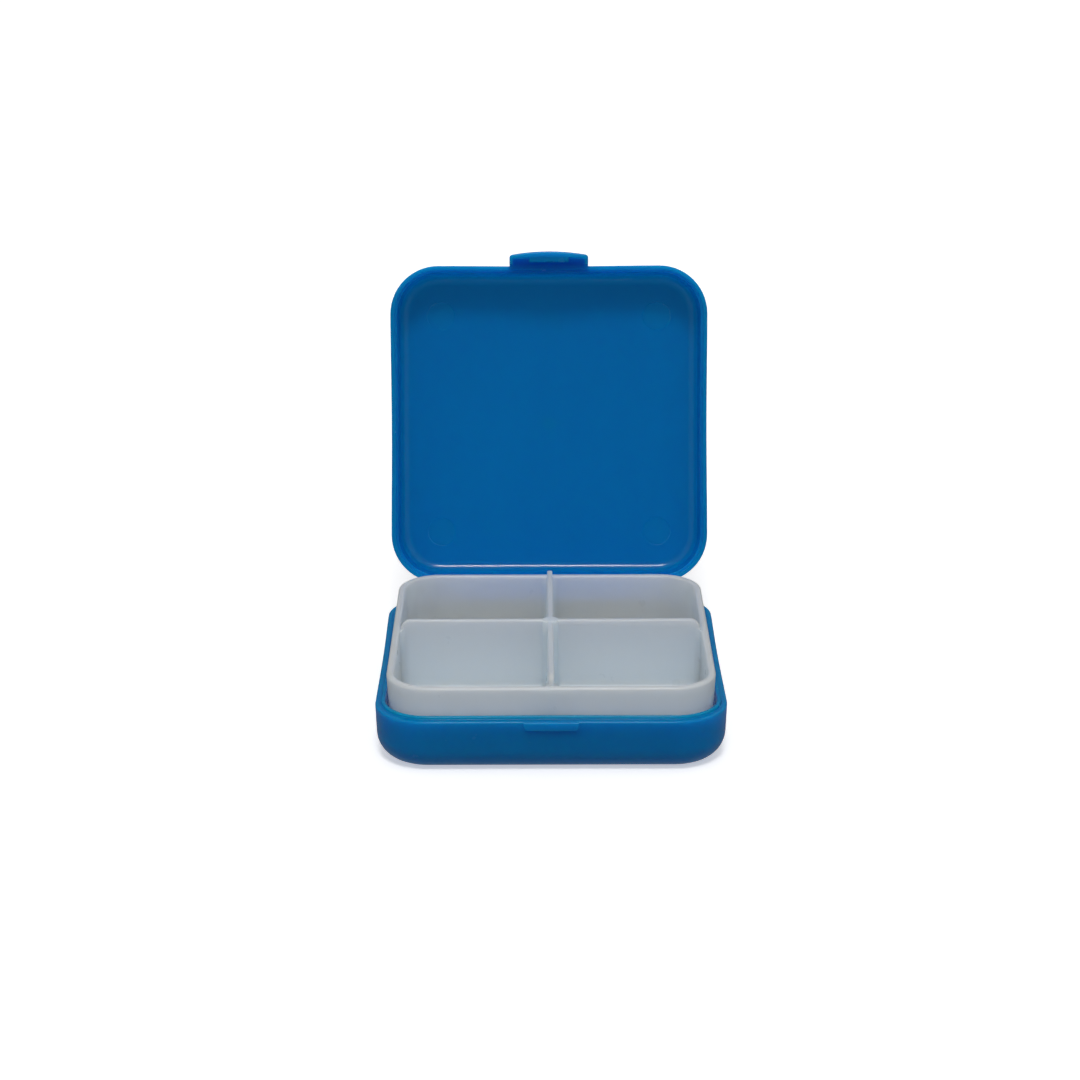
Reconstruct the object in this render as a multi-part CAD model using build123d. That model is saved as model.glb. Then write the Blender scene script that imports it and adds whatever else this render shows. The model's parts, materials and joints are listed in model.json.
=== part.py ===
"""Pocket pill box: a hinged square case holding a lift-out tray with four compartments.

Frame: millimetres, +X to the right, -Y towards the user, +Y towards the hinge, +Z up.
The origin is the centre of the base's underside. The lid stands open against its stop.
"""
import os
from math import asin, atan2, cos, hypot, radians, sin, sqrt

from build123d import *

# Case, shared by the base and the lid
CASE_SIDE = 66.0
CASE_CORNER = 10.0
CASE_DRAFT = 2.0
CLOSED_GAP = 0.05

# Base shell
SHOULDER_Z = 10.4
BASE_EDGE = 5.0
BASE_FLOOR = 1.6
BASE_INNER_EDGE = 3.4
LIP_INSET = 1.15
LIP_WIDTH = 0.75
LIP_HEIGHT = 0.6
LIP_ROUNDING = 0.2

# Catch ridge on the base's front wall
CATCH_WIDTH = 10.2
CATCH_HEIGHT = 1.6
CATCH_DEPTH = 0.5
CATCH_CORNER = 0.7
CATCH_ROUNDING = 0.2

# Lid shell, measured in the closed position
LID_HEIGHT = 10.2
LID_TOP = 1.3
LID_WALL = 1.4
LID_EDGE = 4.0
LID_INNER_EDGE = 2.2
RABBET_RIM = 0.8
RABBET_DEPTH = 0.75
EJECTOR_RADIUS = 3.0
EJECTOR_OFFSET = 22.8
EJECTOR_DEPTH = 0.1

# Latch tab on the lid's front wall
TAB_HALF_WIDTH = 8.15
TAB_REACH_MIDDLE = 2.8
TAB_REACH_END = 2.05
TAB_RISE = 3.0
TAB_DROP = 2.8
TAB_INNER_REACH = 1.6
TAB_WALL_GAP = 0.15
TAB_SIDE_WALL = 0.6
TAB_ROUNDING = 0.6
POCKET_RISE = 0.4
HOOK_WIDTH = 8.2
HOOK_HEIGHT = 1.05
HOOK_CLEARANCE = 0.08

# Hinge: the lid's barrel and its moulded stubs turn between two ears on the base
HINGE_SETBACK = 2.15
BARREL_RADIUS = 1.95
BARREL_HALF_LENGTH = 13.8
EAR_START = 14.0
EAR_END = 19.0
STUB_RADIUS = 1.0
STUB_LENGTH = 3.3
BORE_CLEARANCE = 0.06
BORE_END_GAP = 0.2
GUSSET_HEIGHT = 6.0
WEB_HEIGHT = 4.6
EAR_WEB_GAP = 0.1
OPEN_ANGLE = 106.0
STOP_LENGTH = 2.4
STOP_ROOT_DROP = 1.0
STOP_GAP = 0.03

# Compartment tray
TRAY_SIDE = 61.6
TRAY_CORNER = 8.4
TRAY_TOP_Z = 16.2
TRAY_DRAFT = 3.0
TRAY_EDGE = 2.4
TRAY_STANDOFF = 0.02
TRAY_RIM = 1.35
TRAY_FLOOR = 1.5
FOOT_HEIGHT = 0.5
FOOT_WIDTH = 1.2
FOOT_INSET = 4.4
PARTITION_WIDTH = 1.05
PARTITION_RISE = 1.8
PARTITION_END_INSET = 0.3
CELL_DRAFT = 1.2
CELL_CORNER = 1.4
CELL_INNER_EDGE = 2.2
BOSS_RADIUS = 1.6

HALF = CASE_SIDE / 2
RIM_Z = SHOULDER_Z + CLOSED_GAP
HINGE_Y = HALF + HINGE_SETBACK
HINGE_Z = SHOULDER_Z

# How far joined shapes reach into each other, and how far cutters run past the material
EMBED = 0.4
RUN_OUT = 1.0


def drafted_block(side, corner, mouth_z, height, draft, edge):
    """A rounded square block that narrows away from its mouth; a negative height goes down."""
    with BuildPart() as block:
        with BuildSketch(Plane.XY.offset(mouth_z)):
            RectangleRounded(side, side, corner)
        extrude(amount=height, taper=draft)
        far_face = block.faces().sort_by(Axis.Z)[-1 if height > 0 else 0]
        fillet(far_face.edges(), edge)
    return block.part


def straight_block(side, corner, low_z, high_z):
    """A rounded square block with upright sides."""
    with BuildPart() as block:
        with BuildSketch(Plane.XY.offset(low_z)):
            RectangleRounded(side, side, corner)
        extrude(amount=high_z - low_z)
    return block.part


def box_between(low, high):
    """An upright box from its lowest to its highest corner."""
    size = [b - a for a, b in zip(low, high)]
    middle = [(a + b) / 2 for a, b in zip(low, high)]
    return Pos(*middle) * Box(*size)


def along_x(outline, start_x, end_x):
    """Extrude an outline given in (y, z) from one x to another."""
    with BuildPart() as bar:
        with BuildSketch(Plane.YZ.offset(start_x)):
            with BuildLine():
                Polyline(*outline, close=True)
            make_face()
        extrude(amount=end_x - start_x)
    return bar.part


def hinge_cylinder(radius, start_x, end_x):
    """A cylinder on the hinge axis."""
    middle = Pos((start_x + end_x) / 2, HINGE_Y, HINGE_Z)
    return middle * Rot(0, 90, 0) * Cylinder(radius, end_x - start_x)


def tangent_point(y, z, side):
    """Where a line from (y, z) touches the barrel; side is -1 below the axis, +1 above it."""
    away_y = HINGE_Y - y
    away_z = HINGE_Z - z
    distance = hypot(away_y, away_z)
    bearing = atan2(away_z, away_y) + side * asin(BARREL_RADIUS / distance)
    reach = sqrt(distance ** 2 - BARREL_RADIUS ** 2)
    return (y + reach * cos(bearing), z + reach * sin(bearing))


def gusset_outline():
    """The web under an ear, from the base's rear wall to the underside of the barrel."""
    wall_y = HALF - EMBED
    top_z = HINGE_Z - EAR_WEB_GAP
    foot = (wall_y, HINGE_Z - GUSSET_HEIGHT)
    return [(wall_y, top_z), (HINGE_Y, top_z), tangent_point(*foot, -1), foot]


def web_outline():
    """The web over the lid's barrel, from the barrel's back to the lid's rear wall."""
    wall_y = HALF - EMBED
    low_z = HINGE_Z + EAR_WEB_GAP
    head = (wall_y, HINGE_Z + WEB_HEIGHT)
    return [(wall_y, low_z), (HINGE_Y, low_z), tangent_point(*head, 1), head]


def stop_outline():
    """The heel behind an ear, whose sloping top the lid's rear wall lands on when open."""
    turn = radians(180 - OPEN_ANGLE)
    slope = radians(90 + CASE_DRAFT - OPEN_ANGLE)
    reach = HINGE_SETBACK - STOP_GAP
    first = (HINGE_Y + reach * cos(turn), HINGE_Z + reach * sin(turn))
    last = (first[0] + STOP_LENGTH * cos(slope), first[1] + STOP_LENGTH * sin(slope))
    root = (HINGE_Y + BARREL_RADIUS * cos(slope), HINGE_Z - STOP_ROOT_DROP)
    return [(HINGE_Y, HINGE_Z), first, last, root]


def make_catch():
    """The ridge that the lid's hook closes under."""
    top_z = SHOULDER_Z
    low = (-CATCH_WIDTH / 2, -HALF - CATCH_DEPTH, top_z - CATCH_HEIGHT)
    high = (CATCH_WIDTH / 2, -HALF + 2 * EMBED, top_z)
    ridge = box_between(low, high)
    bottom_edges = ridge.faces().sort_by(Axis.Z)[0].edges().filter_by(Axis.Y)
    ridge = fillet(bottom_edges, CATCH_CORNER)
    front_edges = ridge.faces().sort_by(Axis.Y)[0].edges()
    return fillet(front_edges.sort_by(Axis.Z)[:-1], CATCH_ROUNDING)


def make_ear(side):
    """One hinge ear with its gusset, its stop heel and its blind bore; side is -1 or +1."""
    start_x, end_x = sorted((side * EAR_START, side * EAR_END))
    ear = hinge_cylinder(BARREL_RADIUS, start_x, end_x)
    ear += along_x(gusset_outline(), start_x, end_x)
    ear += along_x(stop_outline(), start_x, end_x)
    bore_end = side * (BARREL_HALF_LENGTH + STUB_LENGTH + BORE_END_GAP)
    bore_x = sorted((side * (EAR_START - RUN_OUT), bore_end))
    return ear - hinge_cylinder(STUB_RADIUS + BORE_CLEARANCE, *bore_x)


def make_base():
    """Base shell with its raised lip, catch ridge and two hinge ears."""
    base = drafted_block(CASE_SIDE, CASE_CORNER, SHOULDER_Z, -SHOULDER_Z, CASE_DRAFT, BASE_EDGE)
    lip_top = SHOULDER_Z + LIP_HEIGHT
    lip = straight_block(
        CASE_SIDE - 2 * LIP_INSET, CASE_CORNER - LIP_INSET, SHOULDER_Z - EMBED, lip_top
    )
    base += fillet(lip.faces().sort_by(Axis.Z)[-1].edges(), LIP_ROUNDING)
    base += make_catch()
    for side in (-1, 1):
        base += make_ear(side)
    mouth_inset = LIP_INSET + LIP_WIDTH
    base -= drafted_block(
        CASE_SIDE - 2 * mouth_inset,
        CASE_CORNER - mouth_inset,
        lip_top,
        BASE_FLOOR - lip_top,
        CASE_DRAFT,
        BASE_INNER_EDGE,
    )
    return base


def tab_outline():
    """Plan of the latch tab: a shallow bow outside the lid's front wall."""
    end_y = -HALF - TAB_REACH_END
    with BuildSketch(Plane.XY) as plan:
        with BuildLine():
            bow = ThreePointArc(
                (-TAB_HALF_WIDTH, end_y),
                (0, -HALF - TAB_REACH_MIDDLE),
                (TAB_HALF_WIDTH, end_y),
            )
            inner_y = -HALF + EMBED
            Polyline(bow @ 1, (TAB_HALF_WIDTH, inner_y), (-TAB_HALF_WIDTH, inner_y), bow @ 0)
        make_face()
    return plan.sketch


def make_latch_tab():
    """Thumb tab with the skirt, pocket and hook that close over the base's catch ridge."""
    low_z = RIM_Z - TAB_DROP
    plan = Pos(0, 0, low_z) * tab_outline()
    tab = extrude(plan, amount=TAB_DROP + TAB_RISE)
    outer_edges = tab.faces().sort_by(Axis.Z)[-1].edges().filter_by(GeomType.CIRCLE)
    tab = fillet(outer_edges, TAB_ROUNDING)
    skirt_back = -HALF - TAB_WALL_GAP
    wide = TAB_HALF_WIDTH + RUN_OUT
    tab -= box_between((-wide, skirt_back, low_z - RUN_OUT), (wide, 0, RIM_Z))
    pocket_half = TAB_HALF_WIDTH - TAB_SIDE_WALL
    pocket_front = -HALF - TAB_INNER_REACH
    tab -= box_between(
        (-pocket_half, pocket_front, low_z - RUN_OUT), (pocket_half, skirt_back + RUN_OUT, RIM_Z)
    )
    tab -= box_between(
        (-pocket_half, pocket_front, RIM_Z - RUN_OUT), (pocket_half, skirt_back, RIM_Z + POCKET_RISE)
    )
    hook_tip = -HALF - CATCH_DEPTH - HOOK_CLEARANCE
    tab += box_between(
        (-HOOK_WIDTH / 2, pocket_front - EMBED, low_z),
        (HOOK_WIDTH / 2, hook_tip, low_z + HOOK_HEIGHT),
    )
    return tab


def make_lid_closed():
    """Lid shell in its closed position, with its latch tab, barrel and hinge stubs."""
    lid = drafted_block(CASE_SIDE, CASE_CORNER, RIM_Z, LID_HEIGHT, CASE_DRAFT, LID_EDGE)
    lid += along_x(web_outline(), -BARREL_HALF_LENGTH, BARREL_HALF_LENGTH)
    lid += hinge_cylinder(BARREL_RADIUS, -BARREL_HALF_LENGTH, BARREL_HALF_LENGTH)
    stub_end = BARREL_HALF_LENGTH + STUB_LENGTH
    lid += hinge_cylinder(STUB_RADIUS, -stub_end, stub_end)
    lid += make_latch_tab()
    depth = LID_HEIGHT - LID_TOP
    lid -= drafted_block(
        CASE_SIDE - 2 * LID_WALL, CASE_CORNER - LID_WALL, RIM_Z, depth, CASE_DRAFT, LID_INNER_EDGE
    )
    lid -= straight_block(
        CASE_SIDE - 2 * RABBET_RIM, CASE_CORNER - RABBET_RIM, RIM_Z - EMBED, RIM_Z + RABBET_DEPTH
    )
    for x in (-EJECTOR_OFFSET, EJECTOR_OFFSET):
        for y in (-EJECTOR_OFFSET, EJECTOR_OFFSET):
            lid -= Pos(x, y, RIM_Z + depth) * Cylinder(EJECTOR_RADIUS, 2 * EJECTOR_DEPTH)
    return lid


def opened(shape):
    """Swing a closed shape back about the hinge axis to the open stop."""
    to_axis = Pos(0, HINGE_Y, HINGE_Z)
    return to_axis * Rot(-OPEN_ANGLE, 0, 0) * to_axis.inverse() * shape


def make_cell(side_x, side_y):
    """The hollow of one compartment; side_x and side_y are -1 or +1."""
    inner = PARTITION_WIDTH / 2
    outer = TRAY_SIDE / 2 - TRAY_RIM
    big_corner = TRAY_CORNER - TRAY_RIM
    size = outer - inner
    middle = (outer + inner) / 2
    floor_z = BASE_FLOOR + TRAY_STANDOFF + FOOT_HEIGHT + TRAY_FLOOR
    with BuildPart() as cell:
        with BuildSketch(Plane.XY.offset(TRAY_TOP_Z)) as plan:
            with Locations((side_x * middle, side_y * middle)):
                Rectangle(size, size)
            outermost = plan.vertices().sort_by_distance((side_x * HALF, side_y * HALF, TRAY_TOP_Z))
            fillet(outermost[0], big_corner)
            centre_and_ends = plan.vertices().sort_by_distance((0, 0, TRAY_TOP_Z))
            fillet(centre_and_ends[:3], CELL_CORNER)
        extrude(amount=floor_z - TRAY_TOP_Z, taper=CELL_DRAFT)
        fillet(cell.faces().sort_by(Axis.Z)[0].edges(), CELL_INNER_EDGE)
    return cell.part


def make_partition():
    """The part of one partition that stands above the rim, with its ends rounded down to it."""
    reach = TRAY_SIDE / 2 - TRAY_RIM - PARTITION_END_INSET
    half = PARTITION_WIDTH / 2
    bar = box_between(
        (-reach, -half, TRAY_TOP_Z - EMBED), (reach, half, TRAY_TOP_Z + PARTITION_RISE)
    )
    end_edges = bar.faces().sort_by(Axis.Z)[-1].edges().filter_by(Axis.Y)
    return fillet(end_edges, PARTITION_RISE)


def make_foot_ring():
    """The low rim under the tray that it stands on."""
    outer = TRAY_SIDE - 2 * FOOT_INSET
    corner = TRAY_CORNER - FOOT_INSET
    low_z = BASE_FLOOR + TRAY_STANDOFF
    high_z = low_z + FOOT_HEIGHT + EMBED
    ring = straight_block(outer, corner, low_z, high_z)
    hole = outer - 2 * FOOT_WIDTH
    return ring - straight_block(hole, corner - FOOT_WIDTH, low_z - RUN_OUT, high_z - EMBED)


def make_tray():
    """Tray with four compartments, a raised cross of partitions and a centre boss."""
    bottom_z = BASE_FLOOR + TRAY_STANDOFF + FOOT_HEIGHT
    height = TRAY_TOP_Z - bottom_z
    tray = drafted_block(TRAY_SIDE, TRAY_CORNER, TRAY_TOP_Z, -height, TRAY_DRAFT, TRAY_EDGE)
    tray += make_foot_ring()
    for side_x in (-1, 1):
        for side_y in (-1, 1):
            tray -= make_cell(side_x, side_y)
    boss_z = TRAY_TOP_Z + PARTITION_RISE
    boss_height = boss_z - bottom_z - TRAY_FLOOR / 2
    tray += Pos(0, 0, boss_z - boss_height / 2) * Cylinder(BOSS_RADIUS, boss_height)
    tray += make_partition()
    tray += Rot(0, 0, 90) * make_partition()
    return tray


os.makedirs("parts", exist_ok=True)
export_step(make_base(), "parts/base_shell.step")
export_step(opened(make_lid_closed()), "parts/lid_shell.step")
export_step(make_tray(), "parts/compartment_tray.step")
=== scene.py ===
import json
from math import asin, atan2, ceil, cos, hypot, pi, radians, sin, sqrt, tan

import bmesh
import bpy
from mathutils import Matrix, Vector


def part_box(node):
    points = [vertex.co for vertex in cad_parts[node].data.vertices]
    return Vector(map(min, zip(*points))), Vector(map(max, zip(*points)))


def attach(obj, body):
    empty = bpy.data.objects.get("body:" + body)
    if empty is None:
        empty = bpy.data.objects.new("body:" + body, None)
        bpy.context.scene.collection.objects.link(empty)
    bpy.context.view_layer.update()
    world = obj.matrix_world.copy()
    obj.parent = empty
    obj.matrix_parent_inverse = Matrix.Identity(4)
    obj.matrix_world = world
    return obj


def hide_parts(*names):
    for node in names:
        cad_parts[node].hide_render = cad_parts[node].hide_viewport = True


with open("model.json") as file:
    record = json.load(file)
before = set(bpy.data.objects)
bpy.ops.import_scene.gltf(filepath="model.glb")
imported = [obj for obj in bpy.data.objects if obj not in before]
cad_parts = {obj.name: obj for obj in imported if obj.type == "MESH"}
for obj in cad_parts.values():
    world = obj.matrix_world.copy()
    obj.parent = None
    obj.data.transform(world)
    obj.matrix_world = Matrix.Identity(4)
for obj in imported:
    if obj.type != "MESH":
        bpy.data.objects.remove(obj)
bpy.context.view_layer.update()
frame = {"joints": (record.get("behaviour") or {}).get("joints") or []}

MM = 0.001

# Sizes in millimetres and angles in radians, as the CAD parts have them, with the lid closed
CASE_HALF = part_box("base_shell")[1].x / MM
CASE_CORNER = 10.0
CASE_DRAFT = radians(2.0)
SHOULDER_Z = 10.4
RIM_Z = 10.45
SIDE_BOW = 0.16
SMALLEST_CORNER = 1.0

BASE_FLOOR = 1.6
BASE_EDGE = 5.0
BASE_INNER_EDGE = 3.4
LIP_INSET = 1.15
LIP_WIDTH = 0.75
LIP_HEIGHT = 0.6
SHOULDER_ROUNDING = 0.35
LIP_FOOT_ROUNDING = 0.2
LIP_TOP_ROUNDING = 0.25
BASE_EJECTOR_OFFSET = 16.8

CATCH_WIDTH = 10.2
CATCH_HEIGHT = 1.6
CATCH_DEPTH = 0.5
CATCH_CORNER = 0.7
CATCH_FRONT_ROUNDING = 0.2
CATCH_TOP_GAP = 0.03

LID_HEIGHT = 10.2
LID_DEPTH = 8.9
LID_WALL = 1.4
LID_EDGE = 4.0
LID_INNER_EDGE = 2.2
RABBET_RIM = 0.8
RABBET_DEPTH = 0.75
RIM_OUTER_ROUNDING = 0.18
RIM_INNER_ROUNDING = 0.12
RABBET_ROOT_ROUNDING = 0.08
RABBET_EDGE_ROUNDING = 0.14
EJECTOR_RADIUS = 3.0
LID_EJECTOR_OFFSET = 22.8
EJECTOR_DEPTH = 0.1

TAB_HALF_WIDTH = 8.15
TAB_REACH_MIDDLE = 2.8
TAB_REACH_END = 2.05
TAB_RISE = 3.0
TAB_DROP = 2.8
TAB_INNER_REACH = 1.6
TAB_CORNER = 0.7
TAB_EDGE_ROUNDING = 0.35
BOW_STEPS = 10
TAB_WALL_GAP = 0.15
TAB_SIDE_WALL = 0.6
POCKET_RISE = 0.4
POCKET_ROUNDING = 0.25
HOOK_WIDTH = 8.2
HOOK_HEIGHT = 1.05
HOOK_RISE = 0.05
HOOK_CLEARANCE = 0.08
HOOK_ROUNDING = 0.15

BARREL_RADIUS = 1.95
BARREL_HALF_LENGTH = 13.8
EAR_START = 14.0
EAR_END = 19.0
STUB_RADIUS = 1.0
STUB_LENGTH = 3.3
BORE_CLEARANCE = 0.06
BORE_END_GAP = 0.2
GUSSET_HEIGHT = 6.0
WEB_HEIGHT = 4.6
EAR_WEB_GAP = 0.1
STOP_LENGTH = 2.4
STOP_GAP = 0.03
STOP_ROOT_DROP = 1.0
BARREL_ROUNDING = 0.2
WEB_ROUNDING = 0.15
WEB_END_INSET = 0.05
HEEL_ROUNDING = 0.12
HEEL_END_INSET = 0.1

TRAY_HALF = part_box("compartment_tray")[1].x / MM
TRAY_BOTTOM_Z = 2.12
TRAY_TOP_Z = 16.2
TRAY_CORNER = 8.4
TRAY_DRAFT = radians(3.0)
TRAY_EDGE = 2.4
TRAY_RIM = 1.35
RIM_OUTER_EDGE = 0.5
RIM_INNER_EDGE = 0.35
TRAY_FLOOR = 1.5
FOOT_LOW_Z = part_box("compartment_tray")[0].z / MM
FOOT_WIDTH = 1.2
FOOT_INSET = 4.4
FOOT_BEVEL = 0.15
PARTITION_WIDTH = 1.05
PARTITION_RISE = 1.8
PARTITION_END_INSET = 0.3
PARTITION_EDGE = 0.28
CELL_DRAFT = radians(1.2)
CELL_CORNER = 1.4
CELL_INNER_EDGE = 2.2
BOSS_RADIUS = 1.6
BOSS_RISE = 0.02
BOSS_ROUNDING = 0.3
BOSS_ROOT = 1.0

# Moulding marks: an ejector mark narrows by its slope as it goes in by its depth
MARK_SLOPE = 0.14
GATE_RADIUS = 1.5
GATE_DEPTH = 0.3
NUB_RADIUS = 0.55
NUB_TOP = 0.2
NUB_ROUNDING = 0.12

# How the meshes are made
EMBED = 0.4
OVERSHOOT = 1.0
SLIVER = 0.0001
TOLERANCE = 0.01
POLISH_AND_SHADE_MARGIN = 0.05
CAP_HALF = 15.0
SMALLEST_CELL_CORNER = 0.3
CORNER_STEPS = 14
SIDE_STEPS = 12
ARC_STEP = radians(11)
END_STEPS = 4
ROUND_STEPS = 64
ROUND_TWIST = 0.3
FLARE_STEPS = 5
FLARE_OVER_RIM = 0.2
FLARE_INTO_CELL = 0.6
FLARE_OFF_WALL = 0.05
FLARE_HEADROOM = 0.3
SMOOTH_ANGLE = radians(32)

# Plastic: how many features a metre holds, how far they are drawn out, and which way they run
STREAKS = {"scale": 60.0, "detail": 3.0, "stretch": (1, 3, 3)}
CLOUDS = {"scale": 220.0, "detail": 4.0}
PITS = {"scale": 3200.0, "detail": 2.0}
SCRATCHES = {"scale": 1500.0, "detail": 1.0, "stretch": (20, 0.6, 0.6), "turn": radians(20)}
CROSS_SCRATCHES = {"scale": 1400.0, "detail": 1.0, "stretch": (0.6, 16, 25), "turn": radians(-35)}
STREAK_SPAN = (0.3, 0.7)
CLOUD_SPAN = (0.25, 0.75)
SCRATCH_SPAN = (0.74, 0.82)
SCRATCH_DULLING = 0.05
SCRATCH_CARVING = -0.04
SKIN_RELIEF = 0.006
PLASTIC_IOR = 1.49

# Stage, in metres
FLOOR_SIZE = 6.0
BACKDROP_RADIUS = 2.9
STAGE_ROUGHNESS = 0.8

# Brightness of the room by the height looked at, from straight down at -1 to straight up at 1
SURROUND = ((-1.0, 0.32), (-0.4, 0.2), (0.0, 0.06), (0.3, 0.07), (0.6, 0.31), (1.0, 0.62))

# The photograph's viewing angle, in millimetres and radians
CAMERA_ELEVATION = radians(19.24)
CAMERA_AZIMUTH = radians(-0.04)
CAMERA_ROLL = radians(-0.14)
CAMERA_TARGET = Vector((-2.0, 0.0, 34.35))
CAMERA_DISTANCE = 487.5
CAMERA_LENS = 84.2
CAMERA_SENSOR = 36.0
CAMERA_NEAREST = 10.0

HINGE = next(joint for joint in frame["joints"] if joint["name"] == "lid_hinge")
HINGE_Y = HINGE["pos_m"][1] / MM
HINGE_Z = HINGE["pos_m"][2] / MM
OPEN_ANGLE = radians(HINGE["range_deg"][1])
STOP_REACH = HINGE_Y - CASE_HALF - STOP_GAP


# Profiles and rings

def round_corner(before, corner, after, radius):
    """Points of the arc that rounds a corner between two straight runs."""
    start = (before - corner).normalized()
    end = (after - corner).normalized()
    half = start.angle(end) / 2
    centre = corner + (start + end).normalized() * radius / sin(half)
    first = corner + start * radius / tan(half) - centre
    last = corner + end * radius / tan(half) - centre
    steps = max(3, ceil(first.angle(last) / ARC_STEP))
    turn = first.angle_signed(last)
    return [centre + Matrix.Rotation(-turn * i / steps, 2) @ first for i in range(steps + 1)]


def rounded_profile(corners):
    """Turn corners of (inset, z, radius) into a run of (inset, z) points with arcs."""
    points = [Vector(corner[:2]) for corner in corners]
    run = [points[0]]
    for i in range(1, len(corners) - 1):
        if corners[i][2]:
            run += round_corner(points[i - 1], points[i], points[i + 1], corners[i][2])
        else:
            run.append(points[i])
    return run + [points[-1]]


def square_ring(half, corner, z, bow=0.0):
    """A rounded square as points, anticlockwise from the middle of its right-hand lower corner."""
    reach = half - corner
    ring = []
    for quarter in range(4):
        turn = Matrix.Rotation(quarter * pi / 2, 2)
        for i in range(CORNER_STEPS // 2, 0, -1):
            angle = -i * pi / 2 / CORNER_STEPS
            ring.append(turn @ Vector((reach + corner * cos(angle), -reach + corner * sin(angle))))
        for i in range(SIDE_STEPS + 1):
            share = 2 * i / SIDE_STEPS - 1
            sag = bow * (1 - share ** 2) ** 2
            ring.append(turn @ Vector((half - sag, reach * share)))
        for i in range(1, CORNER_STEPS // 2):
            angle = i * pi / 2 / CORNER_STEPS
            ring.append(turn @ Vector((reach + corner * cos(angle), reach + corner * sin(angle))))
    return [Vector((point.x, point.y, z)) for point in ring]


def cap_grid(mesh, ring):
    """Close a ring of a multiple of four points with a grid of quads, as a Coons patch."""
    count = len(ring) // 4
    sides = [ring[count * k:count * k + count + 1] for k in range(4)]
    sides[3] = ring[3 * count:] + ring[:1]
    low, right, high, left = sides[0], sides[1], sides[2][::-1], sides[3][::-1]
    grid = [[None] * (count + 1) for _ in range(count + 1)]
    for i in range(count + 1):
        grid[i][0], grid[i][count] = low[i], high[i]
        grid[0][i], grid[count][i] = left[i], right[i]
    for i in range(1, count):
        for j in range(1, count):
            u, v = i / count, j / count
            across = low[i].co * (1 - v) + high[i].co * v
            along = left[j].co * (1 - u) + right[j].co * u
            corners = (low[0].co * (1 - u) * (1 - v) + low[count].co * u * (1 - v)
                       + high[0].co * (1 - u) * v + high[count].co * u * v)
            grid[i][j] = mesh.verts.new(across + along - corners)
    for i in range(count):
        for j in range(count):
            mesh.faces.new((grid[i][j], grid[i + 1][j], grid[i + 1][j + 1], grid[i][j + 1]))


def stitch(mesh, rows):
    """Join each row of vertices to the next with a band of quads."""
    for row, following in zip(rows, rows[1:]):
        for i in range(len(row)):
            j = (i + 1) % len(row)
            mesh.faces.new((row[i], row[j], following[j], following[i]))


def to_object(name, mesh):
    """Turn a bmesh into an object, still in millimetres."""
    bmesh.ops.recalc_face_normals(mesh, faces=mesh.faces)
    data = bpy.data.meshes.new(name)
    mesh.to_mesh(data)
    mesh.free()
    obj = bpy.data.objects.new(name, data)
    bpy.context.scene.collection.objects.link(obj)
    return obj


def loft(name, rings):
    """A closed skin through rings of equal length, capped with grids at both ends."""
    mesh = bmesh.new()
    rows = [[mesh.verts.new(point) for point in ring] for ring in rings]
    stitch(mesh, rows)
    cap_grid(mesh, rows[0])
    cap_grid(mesh, rows[-1])
    return to_object(name, mesh)


def closed_tube(name, rings):
    """A closed skin through rings of equal length, the last of them joined to the first."""
    mesh = bmesh.new()
    rows = [[mesh.verts.new(point) for point in ring] for ring in rings]
    stitch(mesh, rows + rows[:1])
    return to_object(name, mesh)


def side_bow(inset, z, straight_z, full_z):
    """How far a wall's sides bow in at a height, from none at straight_z to all at full_z."""
    if inset >= CAP_HALF:
        return 0.0
    share = (z - straight_z) / (full_z - straight_z)
    return SIDE_BOW * max(0.0, min(1.0, share))


def shell_rings(half, corner, profile, straight_z=None, full_z=None):
    """Rings of a rounded square for each (inset, z) of a profile, bowed between two heights if given."""
    rings = []
    for inset, z in profile:
        radius = max(corner - inset, SMALLEST_CORNER)
        bow = 0.0 if full_z is None else side_bow(inset, z, straight_z, full_z)
        rings.append(square_ring(half - inset, radius, z, bow))
    return rings


# Solids for the details

def bevel_edges(mesh, edges, width, segments):
    """Round the given edges of a bmesh."""
    bmesh.ops.bevel(mesh, geom=edges, offset=width, segments=segments, profile=0.5, affect="EDGES")


def box_mesh(low, high):
    """A box as a bmesh."""
    mesh = bmesh.new()
    bmesh.ops.create_cube(mesh, size=1.0)
    size = [b - a for a, b in zip(low, high)]
    middle = [(a + b) / 2 for a, b in zip(low, high)]
    mesh.transform(Matrix.Translation(middle) @ Matrix.Diagonal((*size, 1.0)))
    return mesh


def plain_box(name, low, high):
    """A box with sharp edges, to cut with."""
    return to_object(name, box_mesh(low, high))


def rounded_box(name, low, high, rounding, segments):
    """A box with every edge rounded."""
    mesh = box_mesh(low, high)
    bevel_edges(mesh, mesh.edges[:], rounding, segments)
    return to_object(name, mesh)


def inset_outline(outline, distance):
    """A convex anticlockwise outline moved inwards by a distance."""
    count = len(outline)
    moved = []
    for i in range(count):
        before, point, after = outline[i - 1], outline[i], outline[(i + 1) % count]
        first = (point - before).normalized()
        second = (after - point).normalized()
        inward = Vector((-first.y - second.y, first.x + second.x))
        share = 1 + first.dot(second)
        moved.append(point + inward * distance / share)
    return moved


def rounded_outline(corners):
    """A closed outline from (a, b, radius) corners."""
    points = [Vector(corner[:2]) for corner in corners]
    run = []
    for i in range(len(corners)):
        if corners[i][2]:
            after = points[(i + 1) % len(points)]
            run += round_corner(points[i - 1], points[i], after, corners[i][2])
        else:
            run.append(points[i])
    return run


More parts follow.
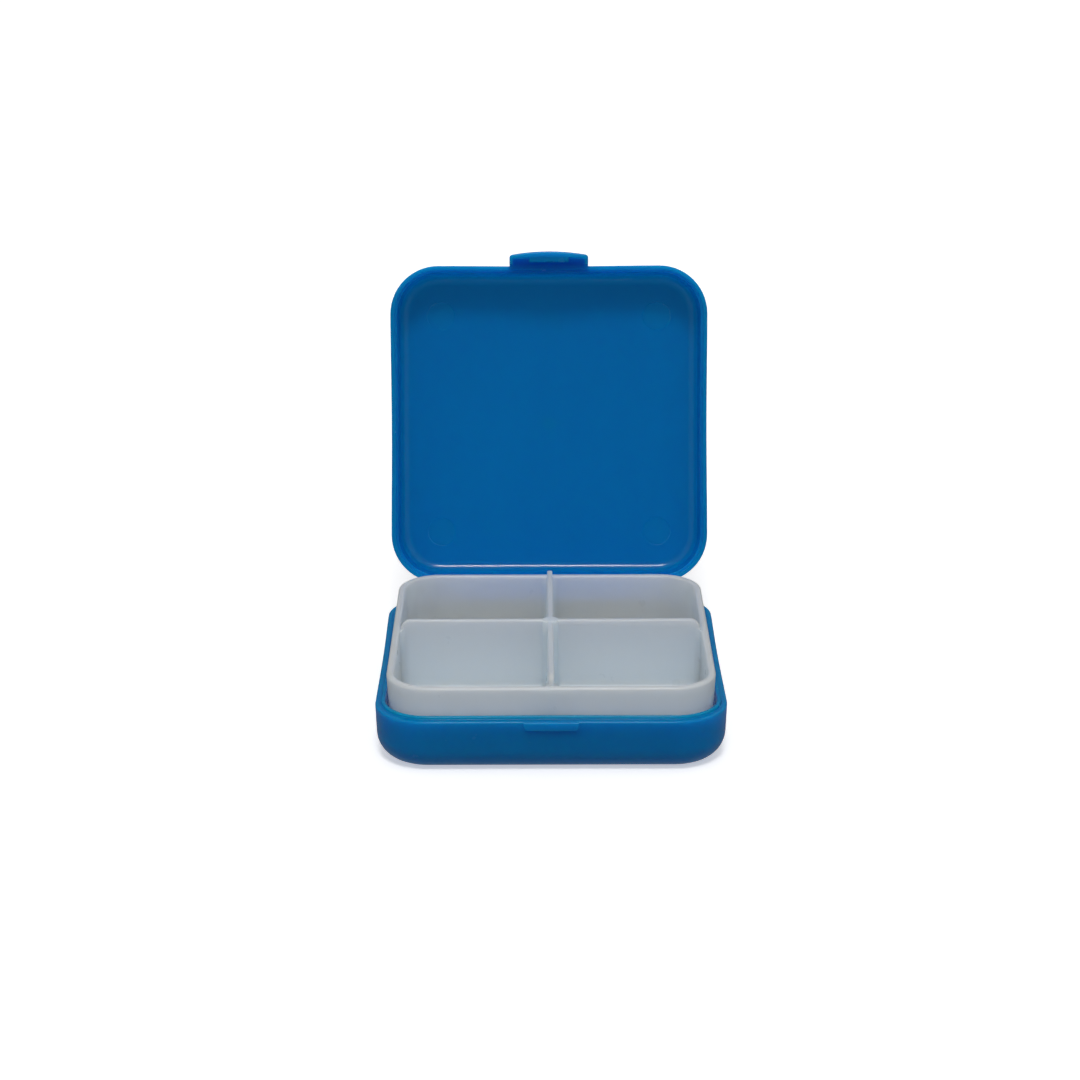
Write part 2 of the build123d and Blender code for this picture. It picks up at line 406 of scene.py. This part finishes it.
def prism(name, outline, axis, start, end, rounding=0.0):
    """Extrude a convex anticlockwise outline along x or z, with its end edges rounded."""
    outline = [Vector(point[:2]) for point in outline]
    levels = [(0.0, start), (0.0, end)]
    if rounding:
        arc = [(i / END_STEPS) * pi / 2 for i in range(END_STEPS + 1)]
        levels = [(rounding * (1 - sin(a)), start + rounding * (1 - cos(a))) for a in arc]
        levels += [(rounding * (1 - cos(a)), end - rounding * (1 - sin(a))) for a in arc]
    mesh = bmesh.new()
    rows = []
    for inset, at in levels:
        points = inset_outline(outline, inset)
        places = [(at, *p) if axis == "x" else (*p, at) for p in points]
        rows.append([mesh.verts.new(place) for place in places])
    stitch(mesh, rows)
    mesh.faces.new(rows[0])
    mesh.faces.new(rows[-1])
    return to_object(name, mesh)


def circle(across, up, radius, steps=40, twist=0.0):
    """Points of a circle, the first of them turned by a part of a step."""
    angles = [2 * pi * (i + twist) / steps for i in range(steps)]
    return [(across + radius * cos(angle), up + radius * sin(angle)) for angle in angles]


def turned(name, x, y, levels):
    """A closed round solid about an upright axis, from (radius, z) levels."""
    mesh = bmesh.new()
    rows = []
    for radius, z in levels:
        points = circle(x, y, radius, ROUND_STEPS, ROUND_TWIST)
        rows.append([mesh.verts.new((*point, z)) for point in points])
    stitch(mesh, rows)
    mesh.faces.new(rows[0])
    mesh.faces.new(rows[-1])
    return to_object(name, mesh)


def mould_marks(piece, offset, face_z, inward):
    """Press four shallow round marks into a flat face, where ejector pins pushed; inward is -1 or +1."""
    for x in (-offset, offset):
        for y in (-offset, offset):
            levels = [(EJECTOR_RADIUS + MARK_SLOPE, face_z - inward * EJECTOR_DEPTH),
                      (EJECTOR_RADIUS - MARK_SLOPE, face_z + inward * EJECTOR_DEPTH)]
            combine(piece, turned("mark", x, y, levels), "DIFFERENCE")


def gate_mark(piece, face_z, inward):
    """The dimple and nub in the middle of an outer face, where the plastic was let in."""
    levels = [(GATE_RADIUS + GATE_DEPTH, face_z - inward * GATE_DEPTH),
              (GATE_RADIUS - GATE_DEPTH, face_z + inward * GATE_DEPTH)]
    combine(piece, turned("dimple", 0, 0, levels), "DIFFERENCE")
    levels = [(NUB_RADIUS, face_z + inward * 2 * GATE_DEPTH),
              (NUB_RADIUS, face_z + inward * NUB_TOP),
              (NUB_RADIUS - NUB_ROUNDING, face_z + inward * (NUB_TOP - NUB_ROUNDING))]
    combine(piece, turned("nub", 0, 0, levels), "UNION")


def combine(target, other, operation):
    """Join or cut a solid with another, which is used up."""
    modifier = target.modifiers.new("combine", "BOOLEAN")
    modifier.object = other
    modifier.operation = operation
    modifier.solver = "EXACT"
    bpy.context.view_layer.update()
    evaluated = target.evaluated_get(bpy.context.evaluated_depsgraph_get())
    result = bpy.data.meshes.new_from_object(evaluated)
    target.modifiers.clear()
    old = target.data
    target.data = result
    bpy.data.meshes.remove(old)
    bpy.data.meshes.remove(other.data)
    return target


def tangent_point(y, z, side):
    """Where a line from (y, z) touches the barrel; side is -1 below the axis, +1 above it."""
    away_y, away_z = HINGE_Y - y, HINGE_Z - z
    distance = hypot(away_y, away_z)
    bearing = atan2(away_z, away_y) + side * asin(BARREL_RADIUS / distance)
    reach = sqrt(distance ** 2 - BARREL_RADIUS ** 2)
    return (y + reach * cos(bearing), z + reach * sin(bearing))


def polish_and_paint_shade(piece, wall, low_z, high_z):
    """Give the faces inside a shell's wall the second finish: polished, and in a darker blue that is
    painted shade.
    """
    piece.data.materials.append(CASE_SATIN)
    piece.data.materials.append(CASE_POLISHED_WITH_PAINTED_SHADE)
    middle = CASE_HALF - CASE_CORNER
    for face in piece.data.polygons:
        x = max(abs(face.center.x) - middle, 0)
        y = max(abs(face.center.y) - middle, 0)
        inside = CASE_CORNER - hypot(x, y) > wall - POLISH_AND_SHADE_MARGIN
        between = low_z - 2 * EJECTOR_DEPTH < face.center.z < high_z + 2 * EJECTOR_DEPTH
        face.material_index = int(inside and between)


# Base shell

def make_base():
    """Base shell: drafted walls, shoulder, raised lip, catch ridge and two hinge ears."""
    foot_inset = SHOULDER_Z * tan(CASE_DRAFT)
    lip_top = SHOULDER_Z + LIP_HEIGHT
    inner = LIP_INSET + LIP_WIDTH
    floor_inset = inner + (lip_top - BASE_FLOOR) * tan(CASE_DRAFT)
    profile = rounded_profile([
        (CAP_HALF, 0.0, 0.0),
        (foot_inset, 0.0, BASE_EDGE),
        (0.0, SHOULDER_Z, SHOULDER_ROUNDING),
        (LIP_INSET, SHOULDER_Z, LIP_FOOT_ROUNDING),
        (LIP_INSET, lip_top, LIP_TOP_ROUNDING),
        (inner, lip_top, LIP_TOP_ROUNDING),
        (floor_inset, BASE_FLOOR, BASE_INNER_EDGE),
        (CAP_HALF, BASE_FLOOR, 0.0),
    ])
    rings = shell_rings(CASE_HALF, CASE_CORNER, profile, 0.0, SHOULDER_Z)
    base = loft("base_shell_skin", rings)
    mould_marks(base, BASE_EJECTOR_OFFSET, BASE_FLOOR, -1)
    gate_mark(base, 0.0, 1)
    combine(base, make_catch(), "UNION")
    for side in (-1, 1):
        for piece in make_ear(side):
            combine(base, piece, "UNION")
        bore_end = side * (BARREL_HALF_LENGTH + STUB_LENGTH + BORE_END_GAP)
        bore = circle(HINGE_Y, HINGE_Z, STUB_RADIUS + BORE_CLEARANCE)
        start, end = sorted((side * (EAR_START - OVERSHOOT), bore_end))
        combine(base, prism("bore", bore, "x", start, end), "DIFFERENCE")
    polish_and_paint_shade(base, inner, BASE_FLOOR, lip_top)
    return base


def make_catch():
    """Ridge under the shoulder, with its lower corners rounded."""
    top_z = SHOULDER_Z - CATCH_TOP_GAP
    low = (-CATCH_WIDTH / 2, -CASE_HALF - CATCH_DEPTH, SHOULDER_Z - CATCH_HEIGHT)
    mesh = box_mesh(low, (CATCH_WIDTH / 2, -CASE_HALF + 2 * EMBED, top_z))
    middle_z = SHOULDER_Z - CATCH_HEIGHT / 2
    lower = [edge for edge in mesh.edges if all(vert.co.z < middle_z for vert in edge.verts)
             and abs(edge.verts[0].co.y - edge.verts[1].co.y) > EMBED]
    bevel_edges(mesh, lower, CATCH_CORNER, 5)
    front = [edge for edge in mesh.edges if all(vert.co.y < -CASE_HALF for vert in edge.verts)]
    bevel_edges(mesh, front, CATCH_FRONT_ROUNDING, 3)
    return to_object("catch", mesh)


def make_ear(side):
    """Solids of one hinge ear: barrel, gusset and stop heel."""
    start, end = sorted((side * EAR_START, side * EAR_END))
    wall_y = CASE_HALF - EMBED
    foot = (wall_y, HINGE_Z - GUSSET_HEIGHT)
    top_z = HINGE_Z - EAR_WEB_GAP
    gusset = [foot, tangent_point(*foot, -1), (HINGE_Y, top_z), (wall_y, top_z)]
    turn = pi - OPEN_ANGLE
    slope = pi / 2 + CASE_DRAFT - OPEN_ANGLE
    first = (HINGE_Y + STOP_REACH * cos(turn), HINGE_Z + STOP_REACH * sin(turn))
    last = (first[0] + STOP_LENGTH * cos(slope), first[1] + STOP_LENGTH * sin(slope))
    root = (HINGE_Y + BARREL_RADIUS * cos(slope), HINGE_Z - STOP_ROOT_DROP)
    heel = [(HINGE_Y, HINGE_Z), root, last, first]
    barrel = circle(HINGE_Y, HINGE_Z, BARREL_RADIUS)
    return [
        prism("ear", barrel, "x", start, end, BARREL_ROUNDING),
        prism("gusset", gusset, "x", start + WEB_END_INSET, end - WEB_END_INSET, WEB_ROUNDING),
        prism("heel", heel, "x", start + HEEL_END_INSET, end - HEEL_END_INSET, HEEL_ROUNDING),
    ]


# Lid shell

def make_lid():
    """Lid shell, made in its closed place and swung open about the hinge."""
    top_z = RIM_Z + LID_HEIGHT
    floor_z = RIM_Z + LID_DEPTH
    profile = rounded_profile([
        (CAP_HALF, top_z, 0.0),
        (LID_HEIGHT * tan(CASE_DRAFT), top_z, LID_EDGE),
        (0.0, RIM_Z, RIM_OUTER_ROUNDING),
        (RABBET_RIM, RIM_Z, RIM_INNER_ROUNDING),
        (RABBET_RIM, RIM_Z + RABBET_DEPTH, RABBET_ROOT_ROUNDING),
        (LID_WALL, RIM_Z + RABBET_DEPTH, RABBET_EDGE_ROUNDING),
        (LID_WALL + LID_DEPTH * tan(CASE_DRAFT), floor_z, LID_INNER_EDGE),
        (CAP_HALF, floor_z, 0.0),
    ])
    lid = loft("lid_shell_skin", shell_rings(CASE_HALF, CASE_CORNER, profile, top_z, RIM_Z))
    mould_marks(lid, LID_EJECTOR_OFFSET, floor_z, 1)
    gate_mark(lid, top_z, -1)
    wall_y = CASE_HALF - EMBED
    head = (wall_y, HINGE_Z + WEB_HEIGHT)
    low_z = HINGE_Z + EAR_WEB_GAP
    web = [(wall_y, low_z), (HINGE_Y, low_z), tangent_point(*head, 1), head]
    end = BARREL_HALF_LENGTH
    web_end = end - WEB_END_INSET
    combine(lid, prism("web", web, "x", -web_end, web_end, WEB_ROUNDING), "UNION")
    barrel = circle(HINGE_Y, HINGE_Z, BARREL_RADIUS)
    combine(lid, prism("barrel", barrel, "x", -end, end, BARREL_ROUNDING), "UNION")
    stub = circle(HINGE_Y, HINGE_Z, STUB_RADIUS)
    stub_end = end + STUB_LENGTH
    combine(lid, prism("stubs", stub, "x", -stub_end, stub_end, WEB_ROUNDING), "UNION")
    combine(lid, make_tab(), "UNION")
    polish_and_paint_shade(lid, LID_WALL, RIM_Z + RABBET_DEPTH, floor_z)
    axis = Vector((0, HINGE_Y, HINGE_Z))
    swing = Matrix.Rotation(-OPEN_ANGLE, 4, "X")
    lid.data.transform(Matrix.Translation(axis) @ swing @ Matrix.Translation(-axis))
    return lid


def tab_outline():
    """Plan of the thumb tab: a shallow bow outside the lid's front wall, with rounded ends."""
    rise = TAB_REACH_MIDDLE - TAB_REACH_END
    radius = (TAB_HALF_WIDTH ** 2 + rise ** 2) / (2 * rise)
    half_angle = asin(TAB_HALF_WIDTH / radius)
    front_y = -CASE_HALF - TAB_REACH_MIDDLE
    corners = []
    for i in range(BOW_STEPS + 1):
        angle = half_angle * (2 * i / BOW_STEPS - 1)
        end_rounding = 0.0 if 0 < i < BOW_STEPS else TAB_CORNER
        corners.append((radius * sin(angle), front_y + radius * (1 - cos(angle)), end_rounding))
    back_y = EMBED - CASE_HALF
    return rounded_outline(corners + [(TAB_HALF_WIDTH, back_y, 0), (-TAB_HALF_WIDTH, back_y, 0)])


def make_tab():
    """Thumb tab with its skirt, pocket and hook."""
    low_z = RIM_Z - TAB_DROP
    under_z = low_z - OVERSHOOT
    tab = prism("tab", tab_outline(), "z", low_z, RIM_Z + TAB_RISE, TAB_EDGE_ROUNDING)
    back = -CASE_HALF - TAB_WALL_GAP
    wide = TAB_HALF_WIDTH + OVERSHOOT
    combine(tab, plain_box("cut", (-wide, back, under_z), (wide, 0, RIM_Z)), "DIFFERENCE")
    half = TAB_HALF_WIDTH - TAB_SIDE_WALL
    front = -CASE_HALF - TAB_INNER_REACH
    high = (half, back + OVERSHOOT, RIM_Z + POCKET_RISE)
    pocket = rounded_box("pocket", (-half, front, under_z), high, POCKET_ROUNDING, 3)
    keep = plain_box("keep", (-wide, back, RIM_Z), (wide, 0, RIM_Z + 2 * OVERSHOOT))
    combine(pocket, keep, "DIFFERENCE")
    combine(tab, pocket, "DIFFERENCE")
    low = (-HOOK_WIDTH / 2, front - EMBED, low_z + HOOK_RISE)
    tip = -CASE_HALF - CATCH_DEPTH - HOOK_CLEARANCE
    high = (HOOK_WIDTH / 2, tip, low_z + HOOK_HEIGHT)
    return combine(tab, rounded_box("hook", low, high, HOOK_ROUNDING, 3), "UNION")


# Compartment tray

def make_tray():
    """Tray with four compartments, a rounded rim, a raised cross and a centre boss."""
    height = TRAY_TOP_Z - TRAY_BOTTOM_Z
    profile = rounded_profile([
        (CAP_HALF, TRAY_BOTTOM_Z, 0.0),
        (height * tan(TRAY_DRAFT), TRAY_BOTTOM_Z, TRAY_EDGE),
        (0.0, TRAY_TOP_Z, RIM_OUTER_EDGE),
        (CAP_HALF, TRAY_TOP_Z, 0.0),
    ])
    tray = loft("compartment_tray_skin", shell_rings(TRAY_HALF, TRAY_CORNER, profile))
    for side_x in (-1, 1):
        for side_y in (-1, 1):
            combine(tray, make_cell(side_x, side_y), "DIFFERENCE")
    combine(tray, make_rim_flare(), "DIFFERENCE")
    gate_mark(tray, TRAY_BOTTOM_Z, 1)
    combine(tray, make_foot_ring(), "UNION")
    for crosswise in (False, True):
        combine(tray, make_partition(crosswise), "UNION")
    low_z = TRAY_BOTTOM_Z + BOSS_ROOT
    high_z = TRAY_TOP_Z + PARTITION_RISE + BOSS_RISE
    boss = prism("boss", circle(0, 0, BOSS_RADIUS, 48), "z", low_z, high_z, BOSS_ROUNDING)
    combine(tray, boss, "UNION")
    tray.data.materials.append(TRAY_SATIN)
    return tray


def cell_ring(z, shrink, side_x, side_y):
    """One level of a compartment: three small corners and the tray's own corner outside."""
    low = PARTITION_WIDTH / 2 + shrink
    high = TRAY_HALF - TRAY_RIM - shrink
    ring = []
    corners = [(high, low, CELL_CORNER, -1), (high, high, TRAY_CORNER - TRAY_RIM, 0),
               (low, high, CELL_CORNER, 1), (low, low, CELL_CORNER, 2)]
    for x, y, radius, quarter in corners:
        radius = max(radius - shrink, SMALLEST_CELL_CORNER)
        centre_x = x - radius if x == high else x + radius
        centre_y = y - radius if y == high else y + radius
        for i in range(CORNER_STEPS + 1):
            angle = (quarter + i / CORNER_STEPS) * pi / 2
            ring.append(Vector((centre_x + radius * cos(angle), centre_y + radius * sin(angle), z)))
    return [Vector((p.x * side_x, p.y * side_y, z)) for p in ring]


def make_cell(side_x, side_y):
    """The hollow of one compartment, narrowing to a floor with rounded edges."""
    floor_z = TRAY_BOTTOM_Z + TRAY_FLOOR
    depth = TRAY_TOP_Z - floor_z
    rise = 2 * OVERSHOOT
    profile = rounded_profile([
        (-rise * tan(CELL_DRAFT), TRAY_TOP_Z + rise, 0.0),
        (depth * tan(CELL_DRAFT), floor_z, CELL_INNER_EDGE),
        (CELL_INNER_EDGE + rise, floor_z, 0.0),
    ])
    return loft("cell", [cell_ring(z, shrink, side_x, side_y) for shrink, z in profile])


def make_rim_flare():
    """A cutter that rounds the rim's inner edge."""
    radius = RIM_INNER_EDGE
    outer = TRAY_RIM - radius - FLARE_OVER_RIM
    inner = TRAY_RIM + FLARE_INTO_CELL
    above_z = TRAY_TOP_Z + FLARE_HEADROOM
    profile = [(outer, above_z), (outer, TRAY_TOP_Z + TOLERANCE)]
    for i in range(FLARE_STEPS + 1):
        angle = i / FLARE_STEPS * pi / 2
        inset = TRAY_RIM - radius * (1 - sin(angle))
        profile.append((inset, TRAY_TOP_Z - radius * (1 - cos(angle))))
    profile.append((TRAY_RIM + FLARE_OFF_WALL, TRAY_TOP_Z - radius - TOLERANCE))
    profile += [(inner, TRAY_TOP_Z + 2 * TOLERANCE), (inner, above_z)]
    rings = [square_ring(TRAY_HALF - inset, TRAY_CORNER - inset, z) for inset, z in profile]
    return closed_tube("flare", rings)


def make_partition(crosswise):
    """The part of a partition above the rim, with rounded ends and a softened top."""
    reach = TRAY_HALF - TRAY_RIM - PARTITION_END_INSET
    half = PARTITION_WIDTH / 2
    top = TRAY_TOP_Z + PARTITION_RISE
    mesh = box_mesh((-reach, -half, TRAY_TOP_Z - EMBED), (reach, half, top))
    ends = [edge for edge in mesh.edges if all(vert.co.z > top - TOLERANCE for vert in edge.verts)
            and abs(edge.verts[0].co.x - edge.verts[1].co.x) < TOLERANCE]
    bevel_edges(mesh, ends, PARTITION_RISE, 8)
    low = TRAY_TOP_Z - EMBED + TOLERANCE
    crest = [edge for edge in mesh.edges if any(vert.co.z > low for vert in edge.verts)
             and abs(edge.verts[0].co.y - edge.verts[1].co.y) < TOLERANCE]
    bevel_edges(mesh, crest, PARTITION_EDGE, 3)
    if crosswise:
        mesh.transform(Matrix.Rotation(pi / 2, 4, "Z"))
    return to_object("partition", mesh)


def make_foot_ring():
    """The low rim under the tray that it stands on."""
    outer = TRAY_HALF - FOOT_INSET
    corner = TRAY_CORNER - FOOT_INSET
    top_z = TRAY_BOTTOM_Z + EMBED
    bevel_z = FOOT_LOW_Z + FOOT_BEVEL
    profile = [(0, top_z), (0, bevel_z), (FOOT_BEVEL, FOOT_LOW_Z)]
    profile += [(FOOT_WIDTH - FOOT_BEVEL, FOOT_LOW_Z), (FOOT_WIDTH, bevel_z), (FOOT_WIDTH, top_z)]
    rings = [square_ring(outer - inset, corner - inset, z) for inset, z in profile]
    return closed_tube("foot", rings)


# Materials

def new_material(name):
    """A node material, with its nodes and links."""
    material = bpy.data.materials.new(name)
    material.use_nodes = True
    return material, material.node_tree.nodes, material.node_tree.links


def noise(nodes, links, scale, detail, stretch=(1, 1, 1), turn=0.0):
    """Noise in object space, whose unit is the metre, drawn out along axes that are turned about z."""
    place = nodes.new("ShaderNodeTexCoord")
    mapping = nodes.new("ShaderNodeMapping")
    mapping.vector_type = "TEXTURE"
    mapping.inputs["Scale"].default_value = stretch
    mapping.inputs["Rotation"].default_value = (0, 0, turn)
    texture = nodes.new("ShaderNodeTexNoise")
    texture.inputs["Scale"].default_value = scale
    texture.inputs["Detail"].default_value = detail
    links.new(place.outputs["Object"], mapping.inputs["Vector"])
    links.new(mapping.outputs["Vector"], texture.inputs["Vector"])
    return texture.outputs["Fac"]


def mapped(nodes, links, value, span, low, high):
    """Map a value from a span of the noise to a range, held at its ends."""
    node = nodes.new("ShaderNodeMapRange")
    node.inputs["From Min"].default_value = span[0]
    node.inputs["From Max"].default_value = span[1]
    node.inputs["To Min"].default_value = low
    node.inputs["To Max"].default_value = high
    links.new(value, node.inputs["Value"])
    return node.outputs["Result"]


def math_node(nodes, links, operation, first, second):
    """One sum or product of two sockets, or of a socket and a number."""
    node = nodes.new("ShaderNodeMath")
    node.operation = operation
    links.new(first, node.inputs[0])
    if isinstance(second, float):
        node.inputs[1].default_value = second
    else:
        links.new(second, node.inputs[1])
    return node.outputs["Value"]


def plastic(name, colour, dark, roughness, specular, radius, grain):
    """Moulded polypropylene: flow streaks and hairline scratches on a skin over a cloudy body."""
    material, nodes, links = new_material(name)
    shader = nodes["Principled BSDF"]
    shader.inputs["IOR"].default_value = PLASTIC_IOR
    shader.inputs["Specular IOR Level"].default_value = specular
    shader.inputs["Subsurface Weight"].default_value = 1.0
    shader.inputs["Subsurface Radius"].default_value = radius
    shader.inputs["Subsurface Scale"].default_value = MM
    mix = nodes.new("ShaderNodeMix")
    mix.data_type = "RGBA"
    mix.inputs["A"].default_value = (*colour, 1)
    mix.inputs["B"].default_value = (*dark, 1)
    streaks = mapped(nodes, links, noise(nodes, links, **STREAKS), STREAK_SPAN, 0.0, 1.0)
    links.new(streaks, mix.inputs["Factor"])
    links.new(mix.outputs["Result"], shader.inputs["Base Color"])
    across = mapped(nodes, links, noise(nodes, links, **SCRATCHES), SCRATCH_SPAN, 0.0, 1.0)
    along = mapped(nodes, links, noise(nodes, links, **CROSS_SCRATCHES), SCRATCH_SPAN, 0.0, 1.0)
    scratches = math_node(nodes, links, "ADD", across, along)
    cloudy = mapped(nodes, links, noise(nodes, links, **CLOUDS), CLOUD_SPAN, *roughness)
    dulled = math_node(nodes, links, "MULTIPLY", scratches, SCRATCH_DULLING)
    links.new(math_node(nodes, links, "ADD", cloudy, dulled), shader.inputs["Roughness"])
    pitted = math_node(nodes, links, "MULTIPLY", noise(nodes, links, **PITS), grain)
    carved = math_node(nodes, links, "MULTIPLY", scratches, SCRATCH_CARVING)
    bump = nodes.new("ShaderNodeBump")
    bump.inputs["Strength"].default_value = 1.0
    bump.inputs["Distance"].default_value = SKIN_RELIEF * MM
    links.new(math_node(nodes, links, "ADD", pitted, carved), bump.inputs["Height"])
    links.new(bump.outputs["Normal"], shader.inputs["Normal"])
    return material


def dress(piece, body, node):
    """Finish a piece: no slivers, metres, smooth faces, its body, and the CAD node it stands for hidden.
    """
    mesh = bmesh.new()
    mesh.from_mesh(piece.data)
    bmesh.ops.dissolve_degenerate(mesh, dist=SLIVER, edges=mesh.edges)
    mesh.to_mesh(piece.data)
    mesh.free()
    piece.data.transform(Matrix.Scale(MM, 4))
    for polygon in piece.data.polygons:
        polygon.use_smooth = True
    piece.data.set_sharp_from_angle(angle=SMOOTH_ANGLE)
    weighted = piece.modifiers.new("even_normals", "WEIGHTED_NORMAL")
    weighted.keep_sharp = True
    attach(piece, body)
    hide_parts(node)


# Stage, light and camera

def pale_material(name, shade, specular, glow):
    """A matt grey with a white glow of its own."""
    material, nodes, _ = new_material(name)
    shader = nodes["Principled BSDF"]
    shader.inputs["Base Color"].default_value = (shade, shade, shade, 1)
    shader.inputs["Roughness"].default_value = STAGE_ROUGHNESS
    shader.inputs["Specular IOR Level"].default_value = specular
    shader.inputs["Emission Color"].default_value = (1, 1, 1, 1)
    shader.inputs["Emission Strength"].default_value = glow
    return material


def make_stage():
    """A plain pale floor with a white wall far round it, which light nothing themselves."""
    bpy.ops.mesh.primitive_plane_add(size=FLOOR_SIZE)
    floor = bpy.context.object
    floor.name = "floor"
    floor.data.materials.append(pale_material("pale_floor", shade=0.92, specular=0.5, glow=0.45))
    bpy.ops.mesh.primitive_cylinder_add(radius=BACKDROP_RADIUS, depth=FLOOR_SIZE, end_fill_type="NOTHING")
    backdrop = bpy.context.object
    backdrop.name = "backdrop"
    white = pale_material("pale_backdrop", shade=0.0, specular=0.0, glow=1.0)
    backdrop.data.materials.append(white)
    for surface in (floor, backdrop):
        surface.visible_diffuse = False
        surface.visible_glossy = False
        surface.visible_shadow = False


def soft_sun(name, strength, spread, lean, turn=0.0):
    """A wide soft light from far off, leaning back from straight above, then turned about the box."""
    data = bpy.data.lights.new(name, "SUN")
    data.energy = strength
    data.angle = spread
    light = bpy.data.objects.new(name, data)
    light.rotation_euler = (-lean, 0, turn)
    bpy.context.scene.collection.objects.link(light)


def make_surround():
    """The room: bright overhead, dim round the horizon, paler below."""
    world = bpy.data.worlds.new("surround")
    world.use_nodes = True
    nodes, links = world.node_tree.nodes, world.node_tree.links
    place = nodes.new("ShaderNodeTexCoord")
    split = nodes.new("ShaderNodeSeparateXYZ")
    rise = nodes.new("ShaderNodeMapRange")
    rise.inputs["From Min"].default_value = -1.0
    ramp = nodes.new("ShaderNodeValToRGB")
    ramp.color_ramp.interpolation = "B_SPLINE"
    stops = ramp.color_ramp.elements
    while len(stops) < len(SURROUND):
        stops.new(0.5)
    for stop, (height, level) in zip(stops, SURROUND):
        stop.position = (height + 1) / 2
        stop.color = (level, level, level, 1)
    links.new(place.outputs["Generated"], split.inputs["Vector"])
    links.new(split.outputs["Z"], rise.inputs["Value"])
    links.new(rise.outputs["Result"], ramp.inputs["Fac"])
    links.new(ramp.outputs["Color"], nodes["Background"].inputs["Color"])
    bpy.context.scene.world = world
    bpy.context.scene.view_settings.view_transform = "Standard"


def make_camera():
    """The viewing angle: level with the open lid, about 19 degrees above the horizon."""
    flat = cos(CAMERA_ELEVATION)
    back = Vector((sin(CAMERA_AZIMUTH) * flat, -cos(CAMERA_AZIMUTH) * flat, sin(CAMERA_ELEVATION)))
    right = Vector((cos(CAMERA_AZIMUTH), sin(CAMERA_AZIMUTH), 0))
    up = back.cross(right)
    rolled_right = right * cos(CAMERA_ROLL) + up * sin(CAMERA_ROLL)
    rolled_up = up * cos(CAMERA_ROLL) - right * sin(CAMERA_ROLL)
    data = bpy.data.cameras.new("camera")
    data.lens = CAMERA_LENS
    data.sensor_width = CAMERA_SENSOR
    data.clip_start = CAMERA_NEAREST * MM
    camera = bpy.data.objects.new("camera", data)
    turn = Matrix((rolled_right, rolled_up, back)).transposed().to_4x4()
    place = (CAMERA_TARGET + back * CAMERA_DISTANCE) * MM
    camera.matrix_world = Matrix.Translation(place) @ turn
    bpy.context.scene.collection.objects.link(camera)
    bpy.context.scene.camera = camera


make_camera()
make_stage()
soft_sun("key", strength=1.2, spread=radians(14), lean=radians(-29))
soft_sun("back_light", strength=0.15, spread=radians(40), lean=radians(40))
soft_sun("left_fill", strength=0.2, spread=radians(60), lean=radians(-80), turn=radians(-55))
soft_sun("right_fill", strength=0.2, spread=radians(60), lean=radians(-80), turn=radians(55))
make_surround()

CASE_COLOURS = (0.0, 0.21, 0.66), (0.0, 0.195, 0.63)
# Inside faces: the same plastic in a darker blue, as painted shade for the inside of the shell
CASE_PAINTED_SHADE_COLOURS = (0.0, 0.145, 0.58), (0.0, 0.134, 0.55)
CASE_SCATTER = (1.0, 8.5, 12.0)
CASE_SATIN = plastic("case_satin", *CASE_COLOURS, roughness=(0.2, 0.28), specular=0.2,
                     radius=CASE_SCATTER, grain=0.5)
# The glossier inside finish also carries the darker blue of painted shade
CASE_POLISHED_WITH_PAINTED_SHADE = plastic("case_polished_painted_shade", *CASE_PAINTED_SHADE_COLOURS, roughness=(0.1, 0.17), specular=0.25,
                        radius=CASE_SCATTER, grain=0.15)
TRAY_COLOURS = (0.68, 0.76, 0.82), (0.66, 0.74, 0.80)
TRAY_SCATTER = (6.0, 6.7, 7.6)
TRAY_SATIN = plastic("tray_satin", *TRAY_COLOURS, roughness=(0.26, 0.36), specular=0.4,
                     radius=TRAY_SCATTER, grain=0.5)
dress(make_base(), "base", "base_shell")
dress(make_lid(), "lid", "lid_shell")
dress(make_tray(), "tray", "compartment_tray")
